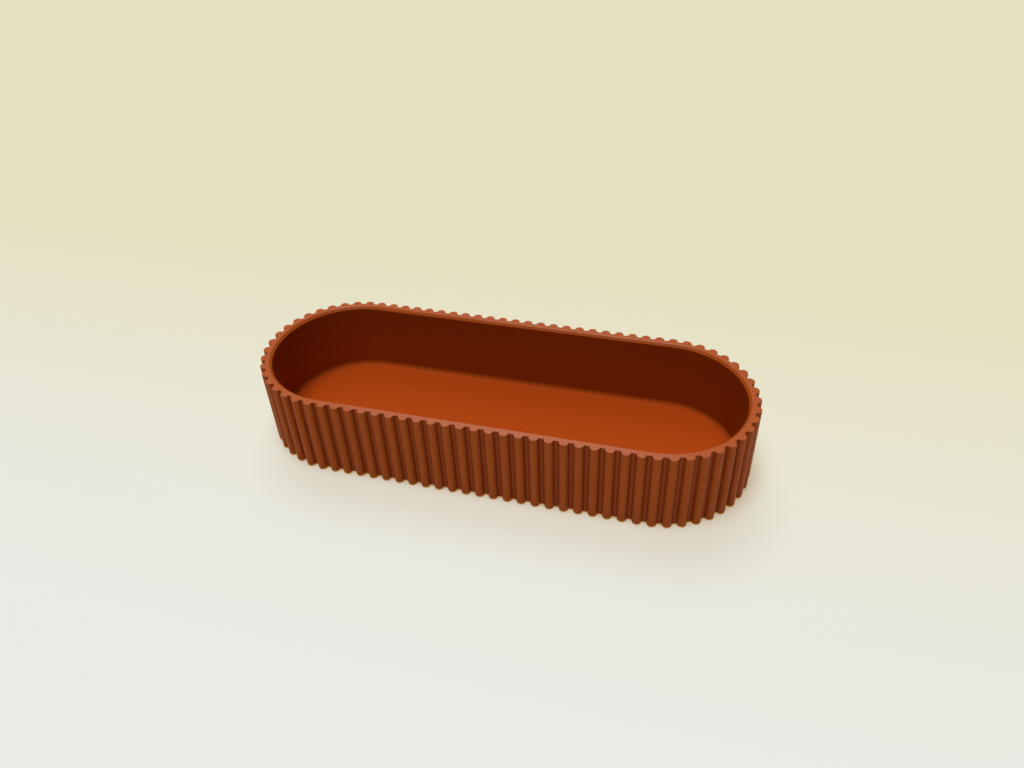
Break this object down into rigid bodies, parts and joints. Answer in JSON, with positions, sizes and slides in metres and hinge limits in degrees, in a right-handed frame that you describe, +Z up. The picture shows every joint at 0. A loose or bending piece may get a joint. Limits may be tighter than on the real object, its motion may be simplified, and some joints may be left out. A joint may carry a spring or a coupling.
{
  "type": "pen tray",
  "caption": "Low stadium-shaped desk tray with half-round ribs all round its wall, a lift-out floor liner and anti-slip feet, for holding pens.",
  "frame": {"origin": "below the middle of the tray, on the plane that its feet stand on", "axes": "+X along the tray, +Y to its back, +Z up out of its mouth"},
  "size_m": [0.1564, 0.056, 0.0271],
  "materials": {
    "terracotta_plastic": "matte terracotta plastic with a fine grain",
    "orange_silicone": "smooth matte burnt-orange mat",
    "grey_rubber": "matte dark grey rubber"
  },
  "bodies": {
    "tray": {"tray_shell": "terracotta_plastic", "foot_front_left": "grey_rubber", "foot_front_right": "grey_rubber", "foot_rear_left": "grey_rubber", "foot_rear_right": "grey_rubber"},
    "liner": {"floor_liner": "orange_silicone"}
  },
  "joints": [
    {"name": "liner_lift", "type": "slide", "parent": "tray", "child": "liner", "axis": [0, 0, 1], "range_m": [0, 0.03]}
  ]
}
